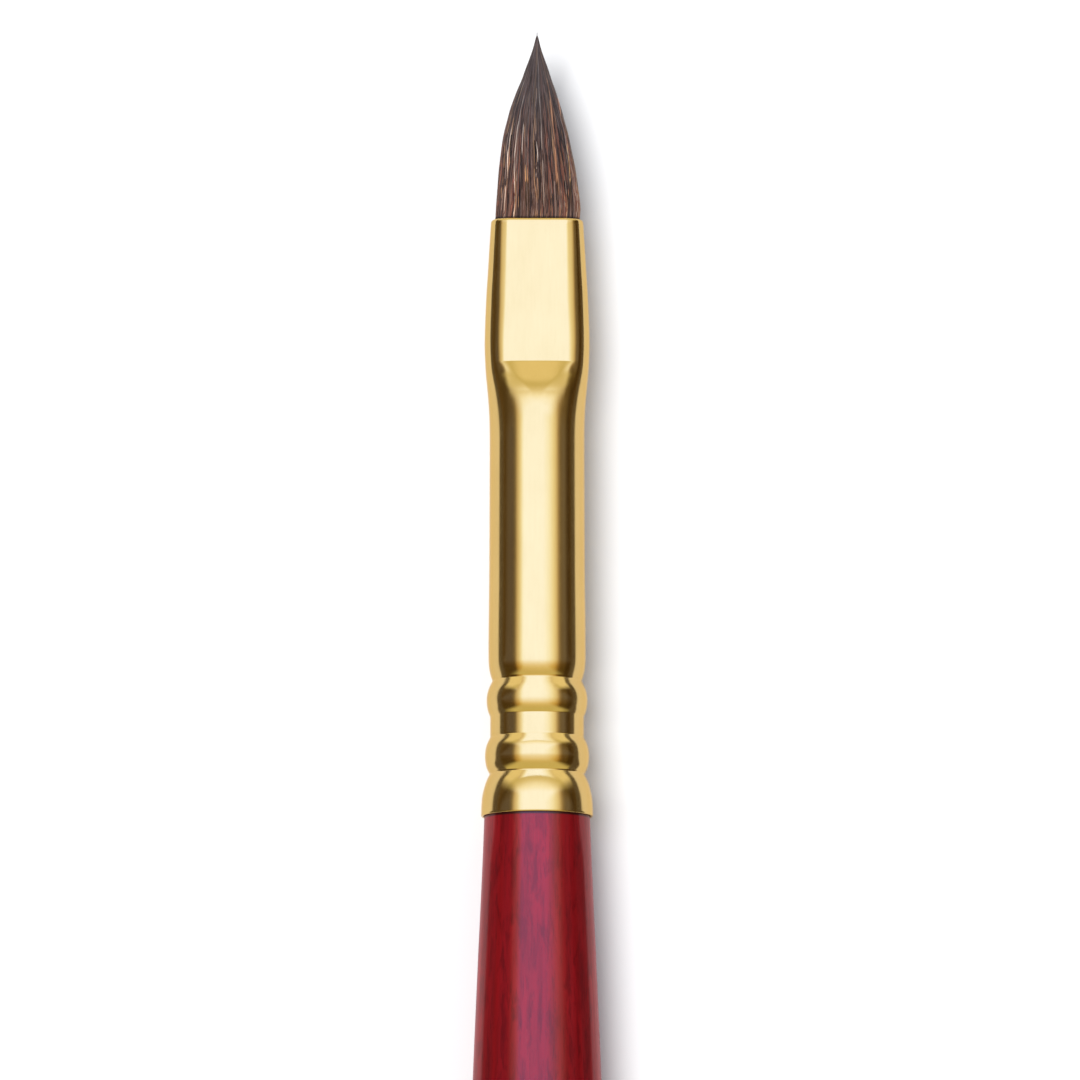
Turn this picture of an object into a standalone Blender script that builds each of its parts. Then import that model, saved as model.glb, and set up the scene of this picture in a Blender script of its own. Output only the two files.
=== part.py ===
"""Short-handled artist's paint brush: a pointed filbert (cat's tongue) tuft of
natural hair in a gilt brass ferrule, on a turned and lacquered wooden handle.

The brush lies along X with the tip of its hair at +X. Its ferrule is pressed
flat at the mouth, with the two flats facing +Z and -Z. The origin is under the
middle of the brush, on the plane that the handle's belly rests on.

Stations along the brush are given in millimetres from the tip of the hair
towards the handle, and radii or half widths in millimetres from its axis.
"""

from math import cos, pi, radians, sin, sqrt

import bmesh
import bpy
from mathutils import Matrix, Vector

for old in list(bpy.data.objects):
    bpy.data.objects.remove(old, do_unlink=True)

MM = 0.001

# ---------------------------------------------------------------- dimensions
LENGTH = 200.0          # tip of the hair to the end of the handle
SIDES = 24              # sides of every round piece, flats facing up and down
BELLY_R = 5.05          # largest radius of the handle
MOUTH = 13.53           # station of the ferrule's mouth
CREASE = 23.91          # where the pressed flats end
ROUND = 29.4            # where the ferrule is fully round again
RIM = 56.45             # handle end of the ferrule
WALL = 0.25             # ferrule's wall
RIM_WALL = 0.17         # wall at the drawn skirt
LIP = 0.09              # rounding of the two ends of the ferrule
MOUTH_T = 1.42          # half thickness at the mouth
CREASE_T = 1.88         # half thickness at the crease
TENON_END = 38.0        # front end of the handle's tenon
TENON_PLAY = 0.13       # tenon to ferrule, filled by the cement
CEMENT_OUT = 0.03
CEMENT_IN = 0.10
CEMENT_FROM, CEMENT_TO = 38.6, 53.6
ROOT_TO = 27.3          # back end of the hair roots
PLUG_FROM, PLUG_TO = 28.7, 32.4
TIE_FROM, TIE_TURNS, THREAD_R = 25.2, 4, 0.11
PIVOT_GAP = 0.10        # between the fixed roots and the flexing tuft
TUFT_T = 1.14           # half thickness of the tuft at its heel
COLUMNS, LAYERS = 5, 3  # locks of hair across the width and the thickness

# stations that the bore, the cement and the tenon share in the crimped part
CRIMPED = (44.5, 45.4, 46.0, 46.72, 47.3, 48.1, 48.9, 49.27, 50.78, 51.2, 52.15, 53.0,
           53.44, 54.0, 54.6, 55.3)

PIVOT = MOUTH - PIVOT_GAP - TUFT_T
AXIS_Z = BELLY_R
FACET = 1.0 / cos(pi / SIDES)  # puts the middle of each side on the true radius

# Outline stations: (station, half width).
FRONT_W = ((13.53, 3.30), (15.6, 3.435), (17.1, 3.52), (18.5, 3.615), (20.0, 3.69),
           (21.4, 3.74), (22.5, 3.765), (23.5, 3.735), (24.5, 3.68), (25.3, 3.61),
           (26.0, 3.54), (26.8, 3.475), (27.6, 3.43), (28.4, 3.405), (29.4, 3.395))
SWELL_T = ((23.91, 1.88), (24.3, 2.16), (24.8, 2.50), (25.4, 2.81), (26.1, 3.06),
           (26.9, 3.23), (27.8, 3.34), (28.6, 3.38), (29.4, 3.395))
TUBE_R = ((29.4, 3.395), (34.0, 3.405), (39.0, 3.425), (44.5, 3.475), (45.3, 3.475),
          (45.9, 3.43), (46.35, 3.33), (46.72, 3.195))
BEAD_1_R = ((46.72, 3.195), (47.05, 3.37), (47.5, 3.53), (48.1, 3.605), (48.65, 3.56),
            (49.0, 3.47), (49.27, 3.345))
BAND_R = ((49.27, 3.345), (50.78, 3.345))
BEAD_2_R = ((50.78, 3.345), (50.98, 3.48), (51.45, 3.64), (52.15, 3.725),
            (52.75, 3.66), (53.15, 3.54), (53.44, 3.39))
SKIRT_R = ((53.44, 3.39), (53.85, 3.60), (54.5, 3.81), (55.2, 3.945), (55.9, 3.99),
           (56.45, 3.99))
HANDLE_R = ((56.45, 3.765), (58.8, 3.85), (62.4, 4.01), (66.0, 4.18), (69.6, 4.34),
            (73.1, 4.49), (78.0, 4.68), (84.0, 4.865), (91.0, 5.00), (98.0, BELLY_R),
            (106.0, 5.00), (116.0, 4.82), (128.0, 4.48), (142.0, 4.00), (156.0, 3.50),
            (170.0, 3.03), (182.0, 2.68), (191.0, 2.46), (195.5, 2.33), (197.8, 2.08),
            (199.2, 1.50), (199.8, 0.80), (200.0, 0.0))
TUFT_W = ((0.0, 0.03), (0.37, 0.12), (1.1, 0.30), (1.8, 0.53), (2.5, 0.79), (3.3, 1.05),
          (4.0, 1.33), (4.7, 1.57), (5.5, 1.83), (6.2, 2.01), (6.9, 2.20), (7.6, 2.35),
          (8.4, 2.48), (9.1, 2.60), (9.8, 2.71), (10.5, 2.79), (11.3, 2.87),
          (12.0, 2.95), (12.7, 3.00), (13.6, 3.02))
TUFT_TH = ((0.0, 0.025), (0.4, 0.07), (1.8, 0.26), (3.3, 0.49), (4.7, 0.71), (6.2, 0.93),
           (7.6, 1.10), (9.0, 1.21), (10.5, 1.24), (12.0, 1.19), (13.6, 1.14))


# ------------------------------------------------------------------ geometry
def along(stations, s):
    """A smooth curve through the stations that never overshoots them."""
    xs = [p[0] for p in stations]
    ys = [p[1] for p in stations]
    if s <= xs[0]:
        return ys[0]
    if s >= xs[-1]:
        return ys[-1]
    h = [b - a for a, b in zip(xs, xs[1:])]
    d = [(b - a) / k for a, b, k in zip(ys, ys[1:], h)]
    slopes = [d[0]]
    for i in range(1, len(d)):
        if d[i - 1] * d[i] <= 0:
            slopes.append(0.0)
        else:
            w1, w2 = 2 * h[i] + h[i - 1], h[i] + 2 * h[i - 1]
            slopes.append((w1 + w2) / (w1 / d[i - 1] + w2 / d[i]))
    slopes.append(d[-1])
    i = max(k for k in range(len(h)) if s >= xs[k])
    t = (s - xs[i]) / h[i]
    return ((1 + 2 * t) * (1 - t) ** 2 * ys[i] + t * (1 - t) ** 2 * h[i] * slopes[i]
            + t * t * (3 - 2 * t) * ys[i + 1] + t * t * (t - 1) * h[i] * slopes[i + 1])


def ferrule_r(s):
    """Outer radius of the round part of the ferrule."""
    for stations in (TUBE_R, BEAD_1_R, BAND_R, BEAD_2_R, SKIRT_R):
        if s <= stations[-1][0]:
            return along(stations, s)
    return SKIRT_R[-1][1]


def ferrule_half(s):
    """Outer half width and half thickness of the ferrule at a station."""
    if s >= ROUND:
        return ferrule_r(s), ferrule_r(s)
    width = along(FRONT_W, s)
    if s <= CREASE:
        share = max(0.0, (s - MOUTH) / (CREASE - MOUTH))
        return width, MOUTH_T + share * (CREASE_T - MOUTH_T)
    return width, along(SWELL_T, s)


def wall(s):
    """The skirt is drawn thinner towards the rim."""
    share = min(1.0, max(0.0, (s - 53.6) / (55.6 - 53.6)))
    return WALL + share * (RIM_WALL - WALL)


def bore_r(s):
    return ferrule_r(s) - wall(s)


def x_of(s):
    return (LENGTH / 2 - s) * MM


def ring(s, half_w, half_t, origin_x=0.0):
    """A ring of points around a section with round ends and flat top and bottom."""
    r = half_t * FACET
    flat = max(0.0, half_w - half_t)
    points = []
    for k in range(SIDES):
        a = 2 * pi * (k + 0.5) / SIDES
        side = flat if cos(a) > 0 else -flat
        points.append(Vector((x_of(s) - origin_x, (side + r * cos(a)) * MM, r * sin(a) * MM)))
    return points


def loft(bm, rings, closed=False, caps=True):
    """Joins rings of equal count into a skin, closed on itself or capped."""
    rows = [[bm.verts.new(p) for p in points] for points in rings]
    count = len(rows[0])
    pairs = list(zip(rows, rows[1:])) + ([(rows[-1], rows[0])] if closed else [])
    for a, b in pairs:
        for k in range(count):
            n = (k + 1) % count
            bm.faces.new((a[k], a[n], b[n], b[k]))
    if caps and not closed:
        bm.faces.new(rows[0])
        bm.faces.new(list(reversed(rows[-1])))


# ------------------------------------------------------------------ materials
def material(name, colour, roughness, metallic=0.0, coat=0.0):
    m = bpy.data.materials.new(name)
    m.use_nodes = True
    p = m.node_tree.nodes["Principled BSDF"]
    p.inputs["Base Color"].default_value = (*colour, 1.0)
    p.inputs["Roughness"].default_value = roughness
    p.inputs["Metallic"].default_value = metallic
    p.inputs["Coat Weight"].default_value = coat
    m.diffuse_color = (*colour, 1.0)
    return m


LACQUER = material("lacquered_wood", (0.28, 0.012, 0.018), 0.25, coat=1.0)
GILT = material("gilt_brass", (0.86, 0.60, 0.24), 0.12, metallic=1.0)
HAIR = material("hair", (0.085, 0.048, 0.036), 0.5)
CEMENT = material("cement", (0.55, 0.42, 0.22), 0.4)
EPOXY = material("epoxy", (0.62, 0.45, 0.18), 0.2)
THREAD = material("thread", (0.80, 0.76, 0.66), 0.8)

brush = bpy.data.collections.new("paint_brush")
bpy.context.scene.collection.children.link(brush)


def empty(name, location):
    e = bpy.data.objects.new(name, None)
    e.location = location
    brush.objects.link(e)
    return e


body = empty("brush_axis", (0.0, 0.0, AXIS_Z * MM))
hinge = empty("tuft_hinge", (x_of(PIVOT), 0.0, AXIS_Z * MM))


def finish(obj, mat, parent):
    obj.data.materials.append(mat)
    if obj.type == "MESH":
        obj.data.shade_smooth()
        obj.data.set_sharp_from_angle(angle=radians(40))
    brush.objects.link(obj)
    obj.parent = parent
    return obj


def meshed(name, bm, mat, parent):
    bmesh.ops.recalc_face_normals(bm, faces=bm.faces)
    me = bpy.data.meshes.new(name)
    bm.to_mesh(me)
    bm.free()
    return finish(bpy.data.objects.new(name, me), mat, parent)


def turned(name, profile, mat, closed=False):
    """A turned piece: (station, radius) points down its outer side from the hair
    end, spun about the brush's axis. A closed profile makes a sleeve."""
    me = bpy.data.meshes.new(name)
    points = [(r * FACET * MM, 0.0, x_of(s)) for s, r in profile]
    edges = [(i, i + 1) for i in range(len(points) - 1)]
    if closed:
        edges.append((len(points) - 1, 0))
    me.from_pydata(points, edges, [])
    obj = bpy.data.objects.new(name, me)
    screw = obj.modifiers.new("turning", "SCREW")
    screw.axis = "Z"
    screw.steps = SIDES
    screw.render_steps = SIDES
    screw.use_merge_vertices = True
    screw.merge_threshold = 0.00001
    screw.use_normal_calculate = True
    finish(obj, mat, body)
    # the turning axis Z becomes the brush's X, with a side of the piece facing up
    obj.rotation_mode = "QUATERNION"
    turn = Matrix.Rotation(radians(90), 4, "Y") @ Matrix.Rotation(pi / SIDES, 4, "Z")
    obj.rotation_quaternion = turn.to_quaternion()
    return obj


# --------------------------------------------------------------------- handle
def handle_profile():
    tenon = [38.35, *CRIMPED, 56.0]
    shaft = [56.45, 58.8, 62.4, 67.0, 72.0, 78.0, 85.0, 91.5, 98.0, 106.0, 116.0,
             128.0, 142.0, 156.0, 170.0, 182.0, 191.0, 195.5, 197.8, 199.2, 199.8]
    profile = [(TENON_END, 0.0), (TENON_END, bore_r(TENON_END) - TENON_PLAY - 0.35)]
    for s in tenon:
        play = TENON_PLAY - 0.07 * min(1.0, max(0.0, (s - 54.2) / 1.2))
        profile.append((s, min(bore_r(s) - play, along(HANDLE_R, 56.45) - 0.01)))
    profile += [(s, along(HANDLE_R, s)) for s in shaft]
    profile.append((LENGTH, 0.0))
    return profile


turned("handle", handle_profile(), LACQUER)


# --------------------------------------------------------- cement round the tenon
def cement_profile():
    stations = [CEMENT_FROM, *(s for s in CRIMPED if s < CEMENT_TO)]
    outer = [(s, bore_r(s) - CEMENT_OUT) for s in stations]
    inner = [(s, bore_r(s) - CEMENT_IN) for s in reversed(stations)]
    return outer + inner


turned("handle_cement", cement_profile(), CEMENT, closed=True)


# -------------------------------------------------------------------- ferrule
def ferrule():
    """One drawn tube: round at the handle, pressed flat at the mouth, with two
    rolled beads and a flared skirt. The skin runs down the outside from the
    mouth, round the rim, and back up the inside."""
    outside = [MOUTH + LIP, 16.2, 18.8, 21.2, 22.6, CREASE, 24.3, 24.8, 25.4, 26.1, 26.9,
               27.8, ROUND, 37.0, 44.5, 45.3, 45.9, 46.35, 46.72, 47.05, 47.5, 48.1,
               48.65, 49.0, 49.27, 50.78, 50.98, 51.45, 52.15, 52.75, 53.15, 53.44,
               53.85, 54.5, 55.2, 55.9, RIM - 0.05]
    inside = [RIM, *reversed(CRIMPED), TENON_END, ROUND, 27.6, 26.1, 25.0, CREASE, 22.6,
              18.8, MOUTH + LIP]
    rings = []
    w, t = ferrule_half(MOUTH)
    rings.append(ring(MOUTH, w - LIP, t - LIP))
    for s in outside:
        rings.append(ring(s, *ferrule_half(s)))
    w, t = ferrule_half(RIM)
    rings.append(ring(RIM, w - 0.05, t - 0.05))
    for s in inside:
        w, t = ferrule_half(s)
        rings.append(ring(s, w - wall(s), t - wall(s)))
    w, t = ferrule_half(MOUTH)
    rings.append(ring(MOUTH, w - WALL + 0.04, t - WALL + 0.04))
    bm = bmesh.new()
    loft(bm, rings, closed=True)
    return meshed("ferrule", bm, GILT, body)


ferrule()


# ------------------------------------------------- roots, tie and plug of epoxy
def root_half(s):
    """The roots fill the mouth and draw in to the waist where they are tied."""
    w, t = ferrule_half(s)
    draw = 0.04 + 0.42 * min(1.0, max(0.0, (s - 20.0) / (TIE_FROM - 20.0)))
    return w - WALL - draw, min(t - WALL - draw, 2.05)


def roots():
    bm = bmesh.new()
    rings = [ring(s, *root_half(s)) for s in (MOUTH + 0.02, 16.5, 20.0, 22.5, CREASE,
                                              TIE_FROM, 26.6, ROOT_TO)]
    loft(bm, rings)
    return meshed("hair_root_bundle", bm, HAIR, body)


def tie():
    """A thread wound round the waist of the roots."""
    curve = bpy.data.curves.new("binding_thread", "CURVE")
    curve.dimensions = "3D"
    curve.bevel_depth = THREAD_R * MM
    curve.bevel_resolution = 1
    curve.use_fill_caps = True
    per_turn = 20
    pitch = 2 * THREAD_R + 0.06
    points = []
    for i in range(TIE_TURNS * per_turn + 1):
        s = TIE_FROM + pitch * i / per_turn
        w, t = root_half(s)
        w, t = w + THREAD_R + 0.045, t + THREAD_R + 0.045
        a = 2 * pi * (i + 0.5) / per_turn
        r = t / cos(pi / per_turn)
        side = (w - t) if cos(a) > 0 else -(w - t)
        points.append((x_of(s), (side + r * cos(a)) * MM, r * sin(a) * MM, 1.0))
    spline = curve.splines.new("POLY")
    spline.points.add(len(points) - 1)
    for point, co in zip(spline.points, points):
        point.co = co
    return finish(bpy.data.objects.new("binding_thread", curve), THREAD, body)


roots()
tie()
PLUG_R = bore_r(PLUG_FROM) if PLUG_FROM >= ROUND else ferrule_half(PLUG_FROM)[1] - WALL
turned("epoxy_plug", [(PLUG_FROM, 0.0), (PLUG_FROM, PLUG_R - 0.35), (PLUG_FROM + 0.3, PLUG_R - 0.06),
                      (PLUG_TO - 0.9, PLUG_R - 0.06), (PLUG_TO, PLUG_R - 0.5), (PLUG_TO + 0.15, 0.0)],
       EPOXY)


# ---------------------------------------------------------------------- tuft
def envelope(s, u, v):
    """A point of the tuft: u across its width and v through its thickness, each
    from -1 to 1. The thickness falls away towards both edges."""
    fall = (1.0 - abs(u) ** 3) ** (1.0 / 3.0)
    return along(TUFT_W, s) * u, along(TUFT_TH, s) * v * fall


def lock(layer, column):
    """One lock of hair: an eight-sided taper that keeps to its own share of the
    tuft, rounded at its heel about the hinge. The locks at the edges are shorter,
    which gives the tuft its pointed outline."""
    u0, u1 = -0.97 + 1.94 * column / COLUMNS, -0.97 + 1.94 * (column + 1) / COLUMNS
    v0, v1 = -1.0 + 2.0 * layer / LAYERS, -1.0 + 2.0 * (layer + 1) / LAYERS
    off = abs(column - (COLUMNS - 1) / 2)
    end = (0.0 if layer == 1 else 0.55) + 1.5 * off
    heel = PIVOT + 0.02
    stations = [end, end + 0.45, end + 1.3]
    rest = 6
    stations += [stations[-1] + (heel - stations[-1]) * k / rest for k in range(1, rest + 1)]
    corners = ((1, -0.45), (1, 0.45), (0.45, 1), (-0.45, 1), (-1, 0.45), (-1, -0.45),
               (-0.45, -1), (0.45, -1))
    rings = []
    for i, s in enumerate(stations):
        fill = (0.16, 0.55, 0.80)[i] if i < 3 else 0.88
        cu, cv = (u0 + u1) / 2, (v0 + v1) / 2
        hu, hv = (u1 - u0) / 2 * fill, (v1 - v0) / 2 * fill
        points = []
        for a, b in corners:
            y, z = envelope(s, cu + a * hu, cv + b * hv)
            x = x_of(s) - x_of(PIVOT)
            if s == stations[-1]:
                x = -sqrt(max(0.0, TUFT_T ** 2 - z * z)) * MM
            points.append(Vector((x, y * MM, z * MM)))
        rings.append(points)
    bm = bmesh.new()
    loft(bm, rings)
    name = "hair_lock_" + ("back", "core", "front")[layer] + "_" + str(column + 1)
    return meshed(name, bm, HAIR, hinge)


for layer in range(LAYERS):
    for column in range(COLUMNS):
        lock(layer, column)
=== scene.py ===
"""Looks for the paint brush: a finely turned handle in burgundy lacquer, a smooth gilt
ferrule, and a tuft of some thirteen hundred separate hairs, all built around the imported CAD.

Stations are in millimetres from the tip of the hair towards the handle, and radii and
half widths in millimetres from the brush's axis, as in the part's own source.
"""

import math

import bpy
import numpy as np
from mathutils import Matrix, Vector


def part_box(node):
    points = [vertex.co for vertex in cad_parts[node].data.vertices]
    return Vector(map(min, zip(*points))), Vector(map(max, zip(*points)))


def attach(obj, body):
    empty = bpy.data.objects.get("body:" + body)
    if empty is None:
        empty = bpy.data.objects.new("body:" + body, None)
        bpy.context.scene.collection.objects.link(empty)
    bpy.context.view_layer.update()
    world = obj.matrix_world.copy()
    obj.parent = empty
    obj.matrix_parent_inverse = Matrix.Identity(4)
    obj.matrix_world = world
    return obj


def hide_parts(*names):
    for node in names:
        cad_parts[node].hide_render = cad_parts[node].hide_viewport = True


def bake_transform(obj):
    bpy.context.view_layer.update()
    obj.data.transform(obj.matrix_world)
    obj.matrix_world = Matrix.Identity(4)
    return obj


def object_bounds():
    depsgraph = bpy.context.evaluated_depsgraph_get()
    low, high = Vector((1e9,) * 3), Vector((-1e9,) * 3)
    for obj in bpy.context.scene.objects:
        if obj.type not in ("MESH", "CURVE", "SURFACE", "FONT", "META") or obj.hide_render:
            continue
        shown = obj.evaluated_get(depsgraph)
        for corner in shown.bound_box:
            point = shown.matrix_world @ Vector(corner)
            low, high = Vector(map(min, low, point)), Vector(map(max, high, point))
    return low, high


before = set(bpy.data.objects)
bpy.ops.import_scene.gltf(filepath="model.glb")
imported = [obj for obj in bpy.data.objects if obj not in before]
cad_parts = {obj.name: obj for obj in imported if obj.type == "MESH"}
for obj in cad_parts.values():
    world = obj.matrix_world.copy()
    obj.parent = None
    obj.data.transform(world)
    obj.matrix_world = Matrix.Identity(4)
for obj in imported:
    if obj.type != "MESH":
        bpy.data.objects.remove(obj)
CAD_LO, CAD_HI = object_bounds()

MM = 0.001
HANDLE_LO, HANDLE_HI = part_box("handle")
AXIS_Z = (HANDLE_LO.z + HANDLE_HI.z) / 2.0
TIP_X = CAD_HI.x
LENGTH = (CAD_HI.x - CAD_LO.x) / MM
MOUTH = (TIP_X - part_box("ferrule")[1].x) / MM       # 13.53
RIM = (TIP_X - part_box("ferrule")[0].x) / MM         # 56.45
ROOT_TO = (TIP_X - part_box("hair_root_bundle")[0].x) / MM
RNG = np.random.default_rng(41)

# ------------------------------------------------------------------- dimensions
CREASE = 23.91
ROUND = 29.4
WALL = 0.25
RIM_WALL = 0.17
LIP = 0.20
MOUTH_T = 1.42
CREASE_T = 1.88
TENON_END = 38.0
TENON_PLAY = 0.13

FRONT_W = ((13.53, 3.30), (15.6, 3.435), (17.1, 3.52), (18.5, 3.615), (20.0, 3.69),
           (21.4, 3.74), (22.5, 3.765), (23.5, 3.735), (24.5, 3.68), (25.3, 3.61),
           (26.0, 3.54), (26.8, 3.475), (27.6, 3.43), (28.4, 3.405), (29.4, 3.395))
SWELL_T = ((23.91, 1.88), (24.3, 2.115), (24.8, 2.405), (25.3, 2.685), (25.6, 2.83),
           (25.9, 2.95), (26.3, 3.075), (26.8, 3.19), (27.4, 3.275), (28.2, 3.345),
           (29.4, 3.395))
TUBE_R = ((29.4, 3.395), (34.0, 3.405), (39.0, 3.425), (44.5, 3.475), (45.3, 3.475),
          (45.9, 3.43), (46.35, 3.33), (46.72, 3.195))
BEAD_1_R = ((46.72, 3.195), (47.05, 3.345), (47.30, 3.455), (47.50, 3.52), (47.75, 3.575),
            (48.1, 3.605), (48.65, 3.56), (49.0, 3.47), (49.27, 3.345))
BAND_R = ((49.27, 3.345), (50.78, 3.345))
BEAD_2_R = ((50.78, 3.345), (51.0, 3.455), (51.25, 3.575), (51.45, 3.64), (51.75, 3.695),
            (52.15, 3.725), (52.75, 3.66), (53.12, 3.54), (53.44, 3.37))
SKIRT_R = ((53.44, 3.39), (53.85, 3.60), (54.5, 3.81), (55.2, 3.945), (55.9, 3.99),
           (56.45, 3.99))
HANDLE_R = ((56.45, 3.765), (58.8, 3.85), (62.4, 4.01), (66.0, 4.18), (69.6, 4.34),
            (73.1, 4.49), (78.0, 4.68), (84.0, 4.865), (91.0, 5.00), (98.0, 5.05),
            (106.0, 5.00), (116.0, 4.82), (128.0, 4.48), (142.0, 4.00), (156.0, 3.50),
            (170.0, 3.03), (182.0, 2.68), (191.0, 2.46), (195.5, 2.33), (197.8, 2.08),
            (199.2, 1.50), (199.8, 0.80), (200.0, 0.0))
TUFT_W = ((0.0, 0.03), (0.37, 0.12), (1.1, 0.30), (1.8, 0.53), (2.5, 0.79), (3.3, 1.05),
          (4.0, 1.33), (4.7, 1.57), (5.5, 1.83), (6.2, 2.01), (6.9, 2.20), (7.6, 2.35),
          (8.4, 2.48), (9.1, 2.60), (9.8, 2.71), (10.5, 2.79), (11.3, 2.87),
          (12.0, 2.95), (12.7, 3.00), (13.6, 3.02))
TUFT_TH = ((0.0, 0.025), (0.4, 0.07), (1.8, 0.26), (3.3, 0.49), (4.7, 0.71), (6.2, 0.93),
           (7.6, 1.10), (9.0, 1.21), (10.5, 1.24), (12.0, 1.19), (13.6, 1.14))
COLUMNS, LAYERS = 5, 3


def curve_of(stations):
    """A smooth curve through the stations that never overshoots them."""
    xs = np.array([p[0] for p in stations], float)
    ys = np.array([p[1] for p in stations], float)
    h = np.diff(xs)
    d = np.diff(ys) / h
    m = np.zeros(len(xs))
    m[0], m[-1] = d[0], d[-1]
    for i in range(1, len(d)):
        if d[i - 1] * d[i] > 0:
            w1, w2 = 2 * h[i] + h[i - 1], h[i] + 2 * h[i - 1]
            m[i] = (w1 + w2) / (w1 / d[i - 1] + w2 / d[i])

    def at(s):
        s = np.clip(np.asarray(s, float), xs[0], xs[-1])
        i = np.clip(np.searchsorted(xs, s, side="right") - 1, 0, len(h) - 1)
        t = (s - xs[i]) / h[i]
        return ((1 + 2 * t) * (1 - t) ** 2 * ys[i] + t * (1 - t) ** 2 * h[i] * m[i]
                + t * t * (3 - 2 * t) * ys[i + 1] + t * t * (t - 1) * h[i] * m[i + 1])

    return at


def eased(stations, spread):
    """The same curve with its small bumps smoothed away and both ends kept."""
    at = curve_of(stations)
    lo, hi = stations[0][0], stations[-1][0]
    step = 0.02
    s = np.arange(lo, hi + step / 2, step)
    s[-1] = hi
    y = at(s)
    n = min(int(3 * spread / step), len(s) - 1)
    k = np.exp(-0.5 * (np.arange(-n, n + 1) * step / spread) ** 2)
    k /= k.sum()
    padded = np.concatenate((2 * y[0] - y[n:0:-1], y, 2 * y[-1] - y[-2:-n - 2:-1]))
    soft = np.convolve(padded, k, mode="valid")
    return lambda q: np.interp(q, s, soft)


front_w = eased(FRONT_W + TUBE_R[1:], 0.35)
swell_t = eased(SWELL_T + TUBE_R[1:], 0.16)
bead_1, band, bead_2 = eased(BEAD_1_R, 0.08), eased(BAND_R, 0.05), eased(BEAD_2_R, 0.08)
skirt = eased(SKIRT_R, 0.16)
handle_r = eased(HANDLE_R, 0.35)
tuft_w, tuft_t = curve_of(TUFT_W), curve_of(TUFT_TH)


def ferrule_half(s):
    """Outer half width and half thickness of the ferrule at a station."""
    if s <= CREASE:
        share = max(0.0, (s - 13.53) / (CREASE - 13.53))
        return float(front_w(s)), MOUTH_T + share * (CREASE_T - MOUTH_T)
    if s <= 46.72:
        return float(front_w(s)), float(swell_t(s))
    for part, end in ((bead_1, 49.27), (band, 50.78), (bead_2, 53.44)):
        if s <= end:
            return float(part(s)), float(part(s))
    return float(skirt(s)), float(skirt(s))


def wall(s):
    share = min(1.0, max(0.0, (s - 53.6) / (55.6 - 53.6)))
    return WALL + share * (RIM_WALL - WALL)


def x_of(s):
    return TIP_X - s * MM


# ------------------------------------------------------------------ mesh helpers
def mesh_object(name, verts, faces, material, smooth=True):
    me = bpy.data.meshes.new(name)
    me.from_pydata([tuple(v) for v in verts], [], [tuple(f) for f in faces])
    me.validate(clean_customdata=False)
    me.update()
    me.materials.append(material)
    if smooth:
        me.shade_smooth()
    obj = bpy.data.objects.new(name, me)
    bpy.context.scene.collection.objects.link(obj)
    return obj


def section(s, half_w, half_t, count):
    """A ring around a section with a flat top and bottom and round sides."""
    a = 2 * np.pi * (np.arange(count) + 0.5) / count
    flat = max(0.0, half_w - half_t)
    side = np.where(np.cos(a) > 0, flat, -flat)
    ring = np.empty((count, 3))
    ring[:, 0] = x_of(s)
    ring[:, 1] = (side + half_t * np.cos(a)) * MM
    ring[:, 2] = AXIS_Z + half_t * np.sin(a) * MM
    return ring


# how steeply the pressed section falls away (the levels) and the half widths where it
# does, from the flat out to the side, at the mouth, half way and at the crease
LEVELS = (0.0, 0.32, 0.40, 0.435, 0.51, 0.80, 1.19, 2.0, 3.2, 6.0, 8.0)
PRESSED_S = (13.53, 19.5, 23.91)
PRESSED = np.array((
    (1.98, 2.12, 2.17, 2.44, 2.57, 2.76, 2.95, 3.12, 3.22, 3.28, 3.30),
    (1.98, 2.21, 2.33, 2.45, 2.64, 2.90, 3.21, 3.45, 3.57, 3.64, 3.66),
    (2.05, 2.39, 2.53, 2.62, 2.75, 3.00, 3.29, 3.50, 3.62, 3.69, 3.72)))
# behind the crease the sides swell up to the round tube later than the middle does
SIDE_BLEND = curve_of(((23.91, 0.0), (24.6, 0.14), (25.2, 0.33), (26.0, 0.57), (27.0, 0.78),
                       (28.0, 0.92), (28.8, 0.98), (29.4, 1.0)))
QUARTER = np.sin(np.linspace(0, np.pi / 2, 500))


def quarter(s):
    """Half widths and heights of the ferrule's outside, from its top to its side."""
    w, t = ferrule_half(s)
    q = QUARTER
    if s >= ROUND:
        return w * q, t * np.sqrt(1 - q * q)
    k = np.clip(s, PRESSED_S[0], PRESSED_S[-1])
    nodes = np.array([np.interp(k, PRESSED_S, PRESSED[:, i]) for i in range(len(LEVELS))])
    nodes = nodes * w / nodes[-1]
    y = w * q
    steep = np.interp(y, nodes, LEVELS)
    fall = np.concatenate(([0.0], np.cumsum(0.5 * (steep[1:] + steep[:-1]) * np.diff(y))))
    top = min(t, CREASE_T)
    if fall[-1] > 0.985 * top:
        fall *= 0.985 * top / fall[-1]
    z = top - fall
    if s > CREASE:
        middle = min(1.0, max(0.0, (t - CREASE_T) / (3.395 - CREASE_T)))
        side = float(SIDE_BLEND(s))
        q1 = np.interp(s, (23.91, 24.3, 24.8, 25.2, 25.6, 26.2, 27.0),
                       (0.60, 0.53, 0.44, 0.36, 0.27, 0.14, 0.08))
        q2 = np.interp(s, (23.91, 24.3, 24.8), (0.80, 0.75, 0.72))
        x = np.clip((q - q1) / (q2 - q1), 0, 1)
        share = middle + (side - middle) * (0.75 * x + 0.25 * x * x * (3 - 2 * x))
        z = z + (3.395 * np.sqrt(1 - q * q) - z) * share
    return y, z


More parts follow.
